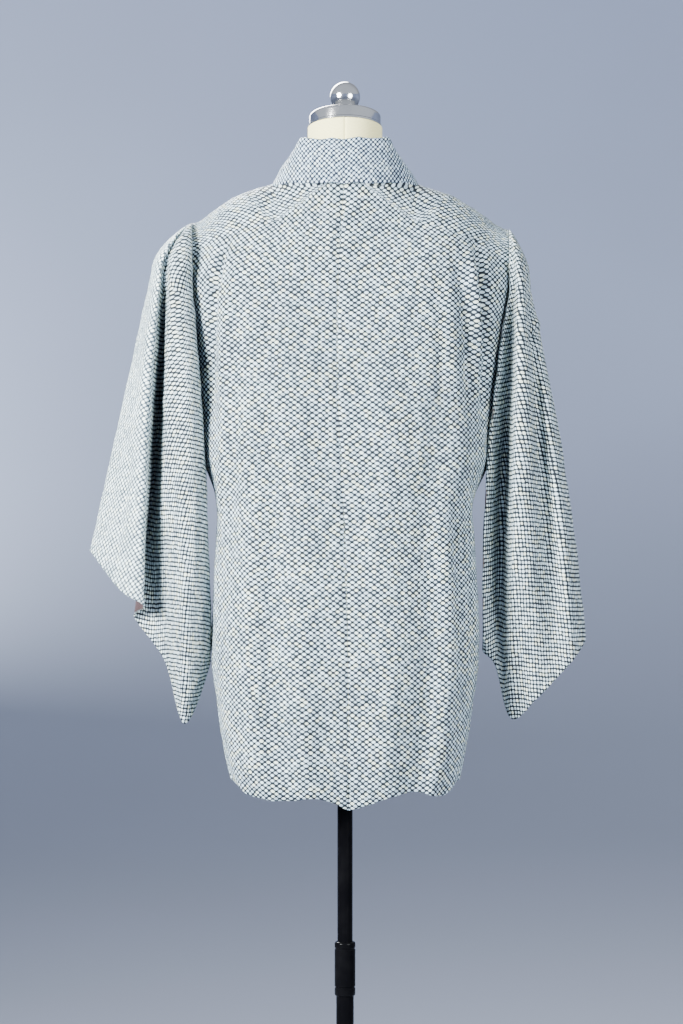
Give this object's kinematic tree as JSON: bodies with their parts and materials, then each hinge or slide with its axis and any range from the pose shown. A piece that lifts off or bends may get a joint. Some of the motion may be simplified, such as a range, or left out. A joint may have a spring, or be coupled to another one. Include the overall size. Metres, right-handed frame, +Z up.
{
  "type": "haori jacket on dress form",
  "caption": "Short haori jacket in silver-grey dotted shibori silk, worn open on a limbless cream dress form with a telescopic black stand.",
  "frame": {"origin": "centre of the stand's underside, on the axis of the pole, on the floor", "axes": "+Z up along the pole; the wearer faces -Y; +X is the wearer's left"},
  "size_m": [0.622, 0.34, 1.5915],
  "materials": {
    "shibori_silk": "matt crepe with tied dots",
    "collar_silk": "matt crepe with tied dots",
    "cream_linen": "plain woven cover",
    "chrome": "polished",
    "black_steel": "gloss black enamel"
  },
  "bodies": {
    "stand": {"stand_base": "black_steel", "pole_outer": "black_steel", "pole_lock": "black_steel"},
    "pole": {"pole_inner": "black_steel"},
    "form": {"form_torso": "cream_linen", "neck_cap": "chrome", "neck_knob": "chrome", "body_left": "shibori_silk", "body_right": "shibori_silk", "gusset_left": "shibori_silk", "gusset_right": "shibori_silk", "sleeve_left": "shibori_silk", "sleeve_right": "shibori_silk", "collar": "collar_silk"}
  },
  "joints": [
    {"name": "pole_height", "type": "slide", "parent": "stand", "child": "pole", "axis": [0, 0, 1], "range_m": [-0.12, 0.2]},
    {"name": "pole_turn", "type": "hinge", "parent": "pole", "child": "form", "pos_m": [0, 0, 0.79], "axis": [0, 0, 1], "continuous": true}
  ]
}
